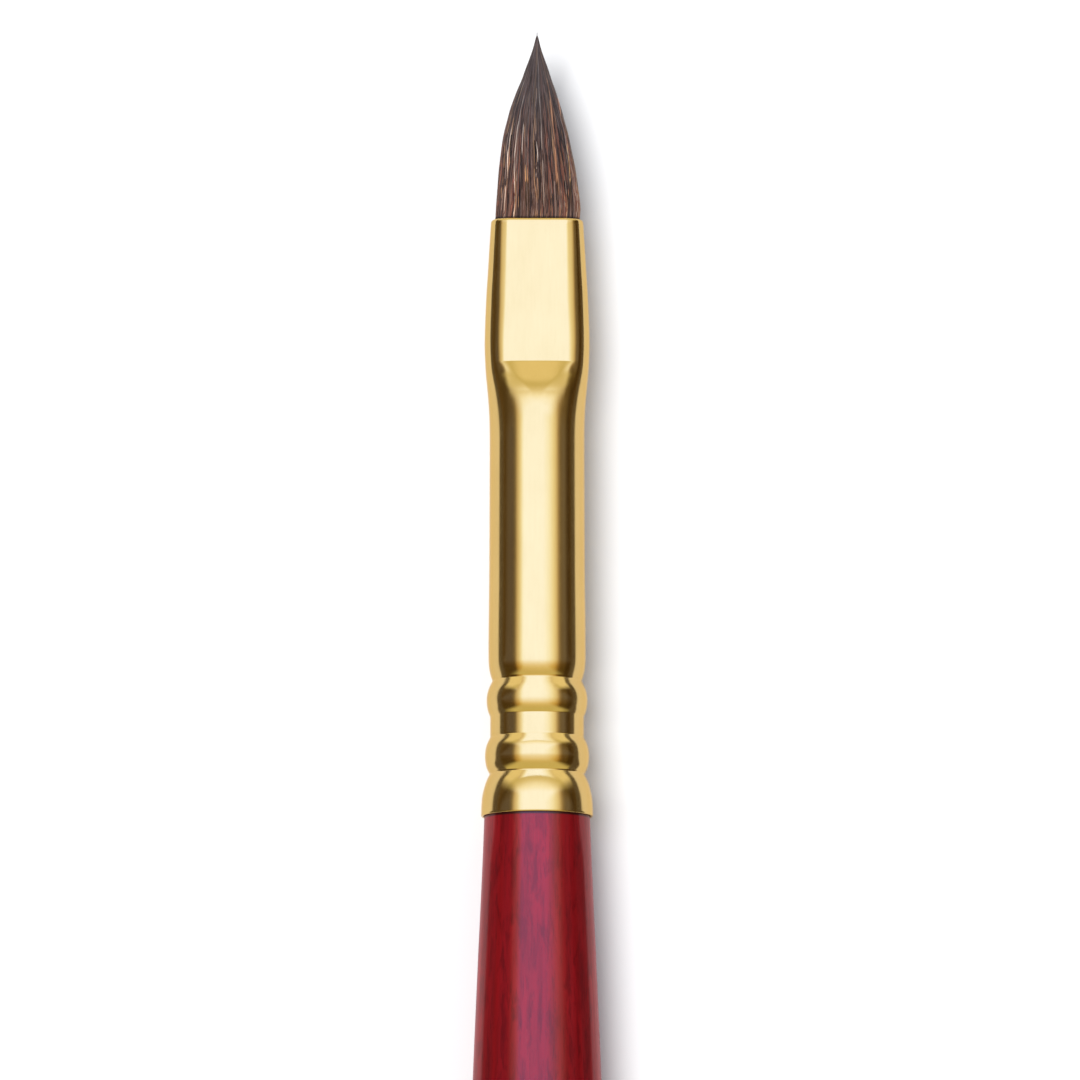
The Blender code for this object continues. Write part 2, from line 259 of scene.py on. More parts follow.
def shell(s, inset=0.0, at=None, count=200):
    """A ring of the ferrule's outside at a station, set in by an amount."""
    y, z = quarter(s)
    if z[-1] > 1e-6:
        y, z = np.append(y, y[-1]), np.append(z, 0.0)
    run = np.concatenate(([0.0], np.cumsum(np.hypot(np.diff(y), np.diff(z)))))
    n = count // 4
    want = run[-1] * (1 - (np.arange(n) + 0.5) / n)
    y, z = np.interp(want, run, y), np.interp(want, run, z)
    y = np.concatenate((y, -y[::-1], -y, y[::-1]))
    z = np.concatenate((z, z[::-1], -z, -z[::-1]))
    dy, dz = np.roll(y, -1) - np.roll(y, 1), np.roll(z, -1) - np.roll(z, 1)
    size = np.hypot(dy, dz)
    y, z = y - dz / size * inset, z + dy / size * inset
    ring = np.empty((len(y), 3))
    ring[:, 0] = x_of(s if at is None else at)
    ring[:, 1] = y * MM
    ring[:, 2] = AXIS_Z + z * MM
    return ring


def skin(rings, closed=False):
    """Quads between rings of equal count; an open skin gets a fan at both ends."""
    n = len(rings[0])
    verts = np.concatenate(rings)
    k = np.arange(n)
    nxt = (k + 1) % n
    faces = []
    pairs = [(i, i + 1) for i in range(len(rings) - 1)]
    if closed:
        pairs.append((len(rings) - 1, 0))
    for a, b in pairs:
        faces += np.stack((a * n + k, b * n + k, b * n + nxt, a * n + nxt), 1).tolist()
    if not closed:
        top, bottom = len(verts), len(verts) + 1
        verts = np.concatenate((verts, [rings[0].mean(0), rings[-1].mean(0)]))
        last = (len(rings) - 1) * n
        faces += np.stack((k, nxt, np.full(n, top)), 1).tolist()
        faces += np.stack((last + nxt, last + k, np.full(n, bottom)), 1).tolist()
    return verts, faces


# --------------------------------------------------------------------- materials
class Nodes:
    """Short calls for making a node material."""

    def __init__(self, name):
        self.material = bpy.data.materials.new(name)
        self.material.use_nodes = True
        self.tree = self.material.node_tree
        self.shader = self.tree.nodes["Principled BSDF"]

    def add(self, kind, inputs=None, **settings):
        node = self.tree.nodes.new(kind)
        for key, value in settings.items():
            setattr(node, key, value)
        for key, value in (inputs or {}).items():
            if isinstance(value, bpy.types.NodeSocket):
                self.tree.links.new(value, node.inputs[key])
            else:
                node.inputs[key].default_value = value
        return node

    def link(self, output, socket):
        self.tree.links.new(output, self.shader.inputs[socket])

    def set(self, **values):
        for key, value in values.items():
            self.shader.inputs[key.replace("_", " ")].default_value = value

    def place(self, scale):
        """Object coordinates stretched by three factors, per metre."""
        where = self.add("ShaderNodeTexCoord")
        return self.add("ShaderNodeMapping", {"Vector": where.outputs["Object"],
                                              "Scale": scale}).outputs["Vector"]

    def noise(self, vector, scale=1.0, detail=2.0, roughness=0.5, distortion=0.0):
        return self.add("ShaderNodeTexNoise", {"Vector": vector, "Scale": scale,
                                               "Detail": detail, "Roughness": roughness,
                                               "Distortion": distortion}).outputs["Fac"]

    def ramp(self, value, stops):
        node = self.add("ShaderNodeValToRGB", {"Fac": value})
        fill_ramp(node.color_ramp, stops)
        return node.outputs["Color"]

    def mix(self, factor, a, b, blend="MIX"):
        node = self.add("ShaderNodeMix", data_type="RGBA", blend_type=blend)
        for socket, value in ((node.inputs[0], factor), (node.inputs[6], a), (node.inputs[7], b)):
            if isinstance(value, bpy.types.NodeSocket):
                self.tree.links.new(value, socket)
            else:
                socket.default_value = value if socket is node.inputs[0] else (*value, 1.0)
        return node.outputs[2]

    def span(self, value, lo, hi, to_lo, to_hi, kind="LINEAR"):
        return self.add("ShaderNodeMapRange", {"Value": value, "From Min": lo,
                                               "From Max": hi, "To Min": to_lo,
                                               "To Max": to_hi},
                        interpolation_type=kind).outputs["Result"]

    def math(self, operation, a, b=0.0, clamp=False):
        return self.add("ShaderNodeMath", {0: a, 1: b}, operation=operation,
                        use_clamp=clamp).outputs[0]

    def bump(self, height, distance, strength=1.0, under=None):
        inputs = {"Height": height, "Distance": distance, "Strength": strength}
        if under is not None:
            inputs["Normal"] = under
        return self.add("ShaderNodeBump", inputs).outputs["Normal"]


def fill_ramp(ramp, stops):
    while len(ramp.elements) > 1:
        ramp.elements.remove(ramp.elements[-1])
    ramp.elements[0].position = stops[0][0]
    ramp.elements[0].color = (*stops[0][1], 1.0)
    for position, colour in stops[1:]:
        ramp.elements.new(position).color = (*colour, 1.0)


def gilt():
    """Gilt brass: drawn along its length, with fine lengthwise marks and soft patches."""
    n = Nodes("gilt_brass_polished")
    drawn = n.noise(n.place((350.0, 9000.0, 9000.0)), detail=3.0, roughness=0.6)
    patches = n.noise(n.place((260.0, 420.0, 420.0)), detail=3.0)
    cloud = n.noise(n.place((900.0, 1500.0, 1500.0)), detail=2.0)
    colour = n.mix(n.span(patches, 0.3, 0.7, 0.0, 1.0), (0.612, 0.420, 0.158), (0.634, 0.442, 0.172))
    colour = n.mix(n.span(drawn, 0.35, 0.75, 0.0, 0.16), colour, (0.56, 0.37, 0.13))
    n.link(colour, "Base Color")
    rough = n.math("ADD", n.span(cloud, 0.3, 0.7, 0.125, 0.165), n.span(drawn, 0.3, 0.7, -0.015, 0.02))
    n.link(rough, "Roughness")
    fine = n.noise(n.place((500.0, 14000.0, 14000.0)), detail=2.0)
    n.link(n.bump(fine, 0.0000006, 0.5), "Normal")
    n.set(Metallic=1.0, Specular_Tint=(0.93, 0.80, 0.58, 1.0))
    return n.material


def lacquer():
    """Stained hardwood under clear lacquer: mottled figure, fine flecks along the grain,
    and painted shade: a thin near-black band where the handle goes into the ferrule."""
    n = Nodes("burgundy_lacquered_wood")
    flecks = n.noise(n.place((620.0, 5600.0, 5600.0)), detail=3.0, roughness=0.62, distortion=0.3)
    figure = n.noise(n.place((330.0, 1500.0, 1500.0)), detail=4.0, roughness=0.62, distortion=0.4)
    streaks = n.noise(n.place((70.0, 1900.0, 1900.0)), detail=3.0, roughness=0.55)
    clouds = n.noise(n.place((110.0, 420.0, 420.0)), detail=2.0)
    colour = n.ramp(n.span(clouds, 0.3, 0.7, 0.0, 1.0),
                    ((0.0, (0.215, 0.0042, 0.0080)), (1.0, (0.300, 0.0060, 0.0112))))
    colour = n.mix(n.span(streaks, 0.42, 0.66, 0.0, 0.50), colour, (0.150, 0.0034, 0.0066))
    colour = n.mix(n.span(figure, 0.48, 0.64, 0.0, 0.66), colour, (0.118, 0.0026, 0.0060))
    colour = n.mix(n.span(flecks, 0.54, 0.72, 0.0, 0.45), colour, (0.062, 0.0020, 0.0045))
    # painted shade: a thin near-black band on the handle just behind the ferrule's rim, standing in for the shadow in
    # the gap under the rim
    where = n.add("ShaderNodeTexCoord").outputs["Object"]
    x = n.add("ShaderNodeSeparateXYZ", {0: where}).outputs[0]
    painted_rim_shade = n.span(x, x_of(RIM + 0.22), x_of(RIM + 0.10), 0.0, 0.92, "SMOOTHSTEP")
    colour = n.mix(painted_rim_shade, colour, (0.020, 0.0040, 0.0035))
    n.link(colour, "Base Color")
    n.link(n.span(streaks, 0.3, 0.7, 0.30, 0.38), "Roughness")
    ripple = n.noise(n.place((260.0, 900.0, 900.0)), detail=1.0)
    n.link(n.bump(ripple, 0.000004, 0.35), "Normal")
    n.set(Metallic=0.40, Coat_Weight=0.18, Coat_Roughness=0.12, Coat_IOR=2.2, IOR=1.4,
          Specular_Tint=(1.0, 0.16, 0.26, 1.0))
    n.shader.inputs["Specular IOR Level"].default_value = 0.12
    return n.material


def hair():
    """One hair's own colour, varied a little along it, with a satin surface."""
    n = Nodes("dark_brown_hair")
    own = n.add("ShaderNodeAttribute", attribute_name="hair_colour").outputs["Color"]
    along = n.noise(n.place((700.0, 5200.0, 5200.0)), detail=2.0)
    colour = n.mix(n.span(along, 0.35, 0.7, 0.0, 0.45), own, (0.55, 0.50, 0.50), blend="MULTIPLY")
    n.link(colour, "Base Color")
    n.link(n.span(along, 0.3, 0.7, 0.42, 0.56), "Roughness")
    scales = n.noise(n.place((9000.0, 9000.0, 9000.0)), detail=1.0)
    n.link(n.bump(scales, 0.000002, 0.35), "Normal")
    n.set(IOR=1.32)
    return n.material


def amber(name, light, dark, roughness):
    """Set adhesive: amber, a little cloudy, with small trapped bubbles."""
    n = Nodes(name)
    cloudy = n.noise(n.place((900.0, 900.0, 900.0)), detail=3.0)
    bubbles = n.add("ShaderNodeTexVoronoi", {"Vector": n.place((4200.0, 4200.0, 4200.0)),
                                             "Scale": 1.0}).outputs["Distance"]
    colour = n.mix(n.span(cloudy, 0.3, 0.7, 0.0, 1.0), dark, light)
    n.link(n.mix(n.span(bubbles, 0.10, 0.22, 0.5, 0.0), colour, light), "Base Color")
    n.link(n.span(cloudy, 0.3, 0.7, roughness - 0.06, roughness + 0.08), "Roughness")
    n.link(n.bump(bubbles, 0.00001, 0.4), "Normal")
    return n.material


def cotton():
    """Twisted undyed cotton."""
    n = Nodes("undyed_cotton_thread")
    twist = n.add("ShaderNodeTexWave", {"Vector": n.place((2600.0, 2600.0, 2600.0)), "Scale": 1.0,
                                        "Distortion": 1.6, "Detail": 2.0},
                  bands_direction="DIAGONAL").outputs["Fac"]
    fuzz = n.noise(n.place((9000.0, 9000.0, 9000.0)), detail=2.0)
    colour = n.mix(twist, (0.46, 0.40, 0.29), (0.78, 0.73, 0.61))
    n.link(n.mix(n.span(fuzz, 0.4, 0.7, 0.0, 0.4), colour, (0.85, 0.82, 0.73)), "Base Color")
    n.link(n.span(fuzz, 0.3, 0.7, 0.78, 0.92), "Roughness")
    n.link(n.bump(twist, 0.00002, 0.7), "Normal")
    return n.material


GILT, LACQUER, HAIR = gilt(), lacquer(), hair()
CAD_LOOKS = {
    "handle_cement": amber("amber_cement", (0.62, 0.47, 0.24), (0.40, 0.27, 0.11), 0.38),
    "epoxy_plug": amber("clear_amber_resin", (0.66, 0.46, 0.17), (0.42, 0.24, 0.06), 0.18),
    "binding_thread": cotton(),
}
for node, look in CAD_LOOKS.items():
    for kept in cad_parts[node].material_slots:
        kept.material = look


# ----------------------------------------------------------------------- ferrule
def spread(lo, hi, step):
    count = max(1, int(round((hi - lo) / step)))
    return [lo + (hi - lo) * k / count for k in range(count)]


def ferrule():
    """One drawn tube with a rolled lip, pressed flats, two beads, a band and a skirt."""
    rings = []
    edge = MOUTH - 0.07
    for a in (8, 24, 40, 56, 74):
        turn = math.radians(a)
        rings.append(shell(MOUTH, 0.21 * (1.0 - math.sin(turn)), edge + LIP * (1 - math.cos(turn))))
    stations = []
    stations += spread(edge + LIP, CREASE - 0.30, 0.30)
    stations += [CREASE - 0.30, CREASE - 0.12, CREASE - 0.05, CREASE - 0.02, CREASE + 0.02,
                 CREASE + 0.05, CREASE + 0.12]
    stations += spread(CREASE + 0.20, ROUND, 0.11)
    stations += spread(ROUND, 44.0, 0.45)
    stations += spread(44.0, 46.66, 0.09)
    for a, b in ((46.72, 49.27), (49.27, 50.78), (50.78, 53.44), (53.44, 56.40)):
        stations += [a - 0.015, a + 0.015, a + 0.045]
        stations += spread(a + 0.10, b - 0.05, 0.07)
    stations.append(RIM - 0.06)
    for s in stations:
        rings.append(shell(s))
    rings.append(shell(RIM, 0.012, RIM - 0.02))
    rings.append(shell(RIM, 0.04))
    rings.append(shell(RIM, RIM_WALL - 0.03))
    inner = [RIM - 0.03, 55.6, 54.6, 54.0, 53.44, 53.0, 52.5, 52.15, 51.6, 51.2, 50.78, 50.0, 49.27, 48.9,
             48.5, 48.1, 47.7, 47.3, 46.72, 46.3, 46.0, 45.4, 44.5, 41.0, TENON_END, 35.0, 32.0, ROUND,
             28.4, 27.6, 26.8, 26.1, 25.5, 25.0, 24.4, CREASE, 22.6, 21.0, 18.8, 16.5, MOUTH + LIP]
    for s in inner:
        rings.append(shell(s, wall(s)))
    rings.append(shell(MOUTH, WALL, edge + 0.03))
    verts, faces = skin(rings, closed=True)
    obj = mesh_object("gilt_ferrule", verts, faces, GILT)
    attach(obj, "brush")
    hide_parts("ferrule")
    return obj


# ------------------------------------------------------------------------ handle
def handle():
    """The turned handle with its tenon, shoulder, belly and rounded end."""
    count = 128
    profile = [(TENON_END, ferrule_half(TENON_END)[0] - WALL - TENON_PLAY - 0.35)]
    for s in [38.35] + spread(39.0, 44.5, 1.1) + spread(44.5, 56.0, 0.16) + [56.0]:
        play = TENON_PLAY - 0.07 * min(1.0, max(0.0, (s - 54.2) / 1.2))
        limit = float(handle_r(56.45)) - 0.01
        profile.append((s, min(ferrule_half(s)[0] - wall(s) - play, limit)))
    shaft = [56.30] + spread(56.45, 190.0, 0.8) + spread(190.0, 197.6, 0.35)
    shaft += [200.0 - 2.4 * math.cos(math.radians(a)) for a in range(0, 88, 6)]
    profile += [(s, float(handle_r(s))) for s in shaft]
    rings = [section(s, r, r, count) for s, r in profile if r > 0.02]
    verts, faces = skin(rings)
    obj = mesh_object("turned_handle", verts, faces, LACQUER)
    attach(obj, "brush")
    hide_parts("handle")
    return obj


# -------------------------------------------------------------------------- hair
MOUTH_HAIR = MOUTH + 1.6        # the hairs run this far into the ferrule


LEAN = curve_of(((-0.3, 0.0), (2.5, 0.02), (5.5, 0.09), (7.5, 0.08), (9.6, 0.0), (11.5, -0.06), (12.6, -0.08),
                 (13.3, -0.04), (13.6, 0.0), (16.0, 0.0)))


def envelope(s, u, v):
    """A point of the tuft: u across its width and v through its thickness. Inside the
    mouth the hairs keep the mouth's own size."""
    fall = (1.0 - np.clip(np.abs(u), 0, 1) ** 3) ** (1.0 / 3.0)
    return tuft_w(s) * u + LEAN(s), tuft_t(s) * v * fall


def srgb(r, g, b):
    c = np.array([r, g, b]) / 255.0
    return np.where(c <= 0.04045, c / 12.92, ((c + 0.055) / 1.055) ** 2.4)


def tube(path, radius, colour, sides, store):
    """Adds one tapered hair, closed at both ends, to a piece's lists."""
    n = len(path)
    tangent = np.gradient(path, axis=0)
    tangent /= np.linalg.norm(tangent, axis=1, keepdims=True)
    up = np.array([0.0, 0.0, 1.0]) - tangent[:, 2:3] * tangent
    up /= np.linalg.norm(up, axis=1, keepdims=True)
    side = np.cross(tangent, up)
    a = 2 * np.pi * np.arange(sides) / sides + store["turn"]
    store["turn"] += 0.7
    rings = (path[:, None, :] + radius[:, None, None] *
             (np.cos(a)[None, :, None] * up[:, None, :] + np.sin(a)[None, :, None] * side[:, None, :]))
    base = store["count"]
    k = np.arange(sides)
    nxt = (k + 1) % sides
    verts = rings.reshape(-1, 3)
    tail = path[-1] + tangent[-1] * radius[-1] * 2
    head = path[0] - tangent[0] * radius[0] * 0.5
    faces = [np.stack((base + i * sides + k, base + i * sides + nxt,
                       base + (i + 1) * sides + nxt, base + (i + 1) * sides + k), 1)
             for i in range(n - 1)]
    last = base + (n - 1) * sides
    end, begin = base + n * sides, base + n * sides + 1
    store["verts"].append(np.concatenate((verts, [tail, head])))
    store["quads"] += np.concatenate(faces).tolist()
    store["quads"] += np.stack((last + k, last + nxt, np.full(sides, end)), 1).tolist()
    store["quads"] += np.stack((base + nxt, base + k, np.full(sides, begin)), 1).tolist()
    tones = np.repeat(colour, sides, axis=0)
    store["colours"].append(np.concatenate((tones, colour[-1:], colour[:1])))
    store["count"] += n * sides + 2


def palette(rng, kind):
    """A hair's colour: its own, mostly dark brown, some reddish, greyish, tan or pale; painted shade for the deepest
    hairs.
    """
    pick = rng.random()
    # painted shade: the deepest hairs of the front and back layers all take one near-black brown
    if kind == "under":
        base = np.array([0.028, 0.018, 0.015])
    elif pick < 0.22:
        base = np.array([0.034, 0.024, 0.022])
    elif pick < 0.60:
        base = np.array([0.105, 0.068, 0.056])
    elif pick < 0.77:
        base = np.array([0.160, 0.076, 0.056])
    elif pick < 0.91:
        base = np.array([0.170, 0.132, 0.118])
    elif pick < 0.985:
        base = np.array([0.270, 0.170, 0.105])
    else:
        base = np.array([0.400, 0.340, 0.295])
    return base * rng.uniform(0.75, 1.25)


def shaded(base, s, rng):
    """The hair's colour along its length: greyer and darker towards the tip, warmer at
    the root, and painted shade where it comes out of the ferrule."""
    root = np.clip((s - 5.0) / 7.5, 0, 1)[:, None]
    tint = np.array([0.94, 0.98, 1.04]) * (1 - root) + np.array([1.44, 1.17, 0.99]) * root
    dark = 0.78 + 0.22 * np.clip(s / 4.0, 0, 1)
    wave = 1.0 + 0.22 * np.sin(s * rng.uniform(1.2, 3.2) + rng.uniform(0, 6.28))
    # painted shade: hairs darkened just outside the ferrule's mouth, standing in for the shade under its lip
    mouth = 0.12 + 0.88 * np.clip((MOUTH - 0.11 - s) / 0.13, 0, 1)
    mean = np.array([0.088, 0.066, 0.060])
    even = (0.62 * np.clip((8.2 - s) / 4.5, 0, 1))[:, None]
    own = base[None, :] * (1 - even) + mean[None, :] * even
    return own * tint * (dark * wave * mouth)[:, None]


# hairs that stand out: colour, how proud they lie, and (across, from the tip) in mm; the near-black ones are painted
# shade for dark gaps between hairs, the pale grey ones painted highlights along single hairs
STRAY_HAIRS_AND_PAINTED_LIGHT = (
    ((0.62, 0.56, 0.50), 0.045, ((2.13, 10.6), (2.12, 9.4), (2.07, 8.3), (1.98, 7.2), (1.77, 5.7))),
    ((0.003, 0.002, 0.002), 0.050, ((1.95, 9.5), (1.91, 8.7), (1.88, 7.9), (1.80, 7.0))),
    ((0.50, 0.47, 0.45), 0.040, ((0.10, 10.5), (-0.02, 9.6), (-0.04, 8.8), (0.06, 8.0), (0.14, 7.2))),
    ((0.003, 0.002, 0.002), 0.045, ((0.20, 10.1), (0.12, 9.3), (0.13, 8.6), (0.20, 7.8))),
    ((0.33, 0.190, 0.118), 0.030, ((-1.52, 12.6), (-1.47, 11.2), (-1.37, 9.3), (-1.18, 7.1), (-0.90, 4.2), (-0.50, 2.4))),
    ((0.27, 0.160, 0.105), 0.026, ((-1.45, 13.2), (-1.40, 11.2), (-1.30, 9.2), (-1.12, 7.0), (-0.84, 4.4))),
    ((0.40, 0.250, 0.130), 0.030, ((0.60, 13.6), (0.62, 12.4), (0.66, 11.0), (0.72, 9.8))),
    ((0.38, 0.235, 0.120), 0.030, ((0.78, 13.6), (0.80, 12.2), (0.82, 10.6), (0.84, 9.4))),
    ((0.36, 0.100, 0.085), 0.030, ((1.66, 13.4), (1.68, 12.2), (1.68, 11.0), (1.62, 10.2))),
    ((0.46, 0.320, 0.160), 0.030, ((-2.38, 13.6), (-2.40, 12.0), (-2.34, 10.2), (-2.12, 8.0))),
    ((0.34, 0.210, 0.150), 0.028, ((-1.72, 6.0), (-1.60, 5.2), (-1.46, 4.6))),
    ((0.44, 0.40, 0.38), 0.030, ((1.10, 9.2), (1.06, 8.0), (0.98, 6.8), (0.86, 5.6))),
    ((0.003, 0.002, 0.002), 0.030, ((-0.36, 11.2), (-0.34, 10.2), (-0.32, 9.2))),
    ((0.003, 0.002, 0.002), 0.030, ((1.28, 12.8), (1.27, 11.8), (1.24, 10.8))),
    ((0.003, 0.002, 0.002), 0.030, ((-2.02, 12.4), (-2.00, 11.4), (-1.94, 10.5))),
)


def strays(column, store, rng):
    """The hairs of the list above that belong to one column of the front layer."""
    for colour, proud, points in STRAY_HAIRS_AND_PAINTED_LIGHT:
        across = np.array([p[0] for p in points])
        s_at = np.array([p[1] for p in points])
        u_mid = float(np.mean(across / tuft_w(s_at)))
        if min(COLUMNS - 1, int((u_mid + 1.0) / 2.0 * COLUMNS)) != column:
            continue
        order = np.argsort(s_at)
        n = 26
        s = np.linspace(s_at.min(), s_at.max(), n)
        y = np.interp(s, s_at[order], across[order])
        y = np.convolve(np.concatenate((np.full(2, y[0]), y, np.full(2, y[-1]))), np.full(5, 0.2), mode="valid")
        u = np.clip(y / tuft_w(s), -0.97, 0.97)
        t = np.linspace(0, 1, n)
        rise = np.sin(np.pi * np.clip(t, 0, 1)) ** 0.5
        _, z = envelope(s, u, 1.0)
        z = z - 0.04 + (0.04 + proud) * rise
        path = np.stack((TIP_X - s * MM, y * MM, AXIS_Z + z * MM), 1)
        radius = (0.008 + 0.034 * rise) * MM
        tone = shaded(np.array(colour), s + 2.5, rng)
        # painted shade: the hair darkened where it goes into the ferrule's mouth
        tone[s > MOUTH - 0.2] *= 0.4
        tube(path[::-1], radius[::-1], tone[::-1], 6, store)


def lock(layer, column):
    """The hairs of one lock, around a near-black core that closes the gaps between them; its colour is painted shade.
    """
    rng = np.random.default_rng(1000 + 37 * layer + column)
    u0, u1 = -1.0 + 2.0 * column / COLUMNS, -1.0 + 2.0 * (column + 1) / COLUMNS
    v0, v1 = -1.0 + 2.0 * layer / LAYERS, -1.0 + 2.0 * (layer + 1) / LAYERS
    store = {"verts": [], "quads": [], "colours": [], "count": 0, "turn": 0.0}
    name = ("back", "core", "front")[layer]
    # the core: a body where the inner hairs would be, its near-black colour painted shade
    off = abs(column - (COLUMNS - 1) / 2)
    start = (0.9 if layer == 1 else 1.6) + 1.0 * off
    stations = np.linspace(start, MOUTH_HAIR, 22)
    top = {0: (-0.80, -0.30), 1: (-0.36, 0.36), 2: (0.30, 0.80)}[layer]
    cu0, cu1 = max(u0 - 0.02, -0.955), min(u1 + 0.02, 0.955)
    around = 16
    a = 2 * np.pi * (np.arange(around) + 0.5) / around
    rings = []
    for i, s in enumerate(stations):
        fill = min(1.0, 0.15 + 0.85 * i / 3.0)
        box_x = np.clip(1.25 * np.cos(a), -1, 1)
        box_y = np.clip(1.25 * np.sin(a), -1, 1)
        cu, cv = (cu0 + cu1) / 2, (top[0] + top[1]) / 2
        y, z = envelope(s, cu + fill * (cu1 - cu0) / 2 * box_x, cv + fill * (top[1] - top[0]) / 2 * box_y)
        rings.append(np.stack((np.full(around, x_of(s)), y * MM, AXIS_Z + z * MM), 1))
    verts, faces = skin(rings[::-1])
    store["verts"].append(verts)
    store["quads"] += faces
    # painted shade: the core's near-black colour
    store["colours"].append(np.tile(np.array([0.014, 0.009, 0.007]), (len(verts), 1)))
    store["count"] += len(verts)
    # the hairs
    count = {"front": 132, "back": 90, "core": 26}[name]
    if name == "core" and column in (0, COLUMNS - 1):
        count = 60
    for i in range(count):
        u = u0 + (u1 - u0) * (i + rng.random()) / count
        depth = rng.random()
        if name == "front":
            v = 0.72 + 0.28 * depth ** 0.6
        elif name == "back":
            v = -0.72 - 0.28 * depth ** 0.6
        else:
            v = rng.uniform(-0.42, 0.42)
            if column == 0:
                u = -1.0 + 0.10 * rng.random() ** 1.5
                v = rng.uniform(-0.95, 0.95)
            elif column == COLUMNS - 1:
                u = 1.0 - 0.10 * rng.random() ** 1.5
                v = rng.uniform(-0.95, 0.95)
        u = float(np.clip(u, -0.985, 0.985))
        # where the hair ends: a few reach the tip, most stop behind it
        reach = rng.random()
        end = 0.10 + 6.4 * reach ** 2.1
        end *= 0.75 + 0.5 * abs(u)
        leader = i % 11 == 5 and name != "core"
        if leader:
            end = -0.17 + 0.13 * (i % 3) + 0.5 * off
        n = 34
        s = end + (MOUTH_HAIR - end) * (np.arange(n) / (n - 1)) ** 1.15
        s = np.sort(np.concatenate((s, (MOUTH - 0.26, MOUTH - 0.10))))
        wander = rng.normal(0, 0.030) * (2.2 if rng.random() < 0.18 else 1.0)
        phase, length = rng.uniform(0, 6.28), rng.uniform(6.0, 13.0)
        free = np.clip((MOUTH - s) / 4.0, 0, 1)
        near = np.clip((MOUTH - s) / 1.2, 0, 1)
        kink = rng.uniform(0.003, 0.012) * (2.2 if rng.random() < 0.25 else 1.0)
        path_u = u + free * (wander + 0.022 * np.sin(2 * np.pi * s / length + phase))
        path_u = path_u + near * kink * np.sin(2 * np.pi * s / rng.uniform(1.6, 3.6) + 2 * phase)
        clump = (np.floor((u + 1) * 12.0 + 0.37 * layer) + 0.5 - 0.37 * layer) / 12.0 - 1.0
        pull = 0.36 * np.clip((MOUTH - s) / 11.0, 0, 1) ** 1.2
        path_u = path_u * (1 - pull) + clump * pull
        path_u = np.clip(path_u, -1.0, 1.0)
        path_v = v + free * rng.normal(0, 0.04) + near * 0.022 * np.sin(2 * np.pi * s / rng.uniform(1.8, 4.0) + phase)
        path_v = np.clip(path_v, -1.04, 1.04)
        y, z = envelope(s, path_u, path_v)
        path = np.stack((TIP_X - s * MM, y * MM, AXIS_Z + z * MM), 1)
        thick = rng.uniform(0.028, 0.048)
        taper = np.clip((s - end) / rng.uniform(2.5, 5.5), 0, 1) ** 0.75
        if leader:
            taper = np.clip((s - end) / 0.9, 0, 1) ** 0.5
        radius = (0.015 + (thick - 0.015) * taper) * MM
        # the deepest hairs get the painted shade colour
        base = palette(rng, "top" if depth > 0.22 or name == "core" else "under")
        colour = shaded(base, s, rng)
        tube(path[::-1], radius[::-1], colour[::-1], 6, store)
    if name == "front":
        strays(column, store, rng)
    verts = np.concatenate(store["verts"])
    obj = mesh_object("hair_" + name + "_" + str(column + 1), verts, store["quads"], HAIR)
    paint(obj, np.concatenate(store["colours"]))
    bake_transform(obj)
    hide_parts("hair_lock_" + name + "_" + str(column + 1))
    return obj


def paint(obj, colours):
    """Stores each vertex's hair colour for the hair material."""
    layer = obj.data.attributes.new("hair_colour", "FLOAT_COLOR", "POINT")
    rgba = np.ones((len(obj.data.vertices), 4), np.float32)
    rgba[:, :3] = colours
    layer.data.foreach_set("color", rgba.ravel())


def roots():
    """The held part of the hair: a bundle with the grooves of its outer hairs, drawn
    in at the waist where it is tied."""
    count = 120
    rings = []
    ripple = 0.018 * np.sin(np.arange(count) * 2 * np.pi * 30 / count) + RNG.normal(0, 0.008, count)
    for s in [MOUTH + 1.62] + spread(MOUTH + 1.8, ROOT_TO - 0.05, 0.5) + [ROOT_TO - 0.05, ROOT_TO]:
        w, t = ferrule_half(s)
        draw = 0.055 + 0.42 * min(1.0, max(0.0, (s - 20.0) / 5.2))
        half_w, half_t = w - WALL - draw, min(t - WALL - draw, 2.03)
        ring = section(s, half_w, half_t, count)
        centre = ring.mean(0)
        out = ring - centre
        out /= np.linalg.norm(out, axis=1, keepdims=True)
        rings.append(ring - out * (np.abs(ripple)[:, None]) * MM)
    verts, faces = skin(rings)
    obj = mesh_object("hair_roots", verts, faces, HAIR)
    tones = np.tile(0.75 + 0.5 * RNG.random(count), len(rings))
    colours = np.concatenate((np.outer(tones, (0.105, 0.062, 0.046)), np.full((2, 3), 0.05)))
    paint(obj, colours)
    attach(obj, "brush")
    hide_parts("hair_root_bundle")
    return obj


ferrule()
handle()
roots()
for layer in range(LAYERS):
    for column in range(COLUMNS):
        lock(layer, column)


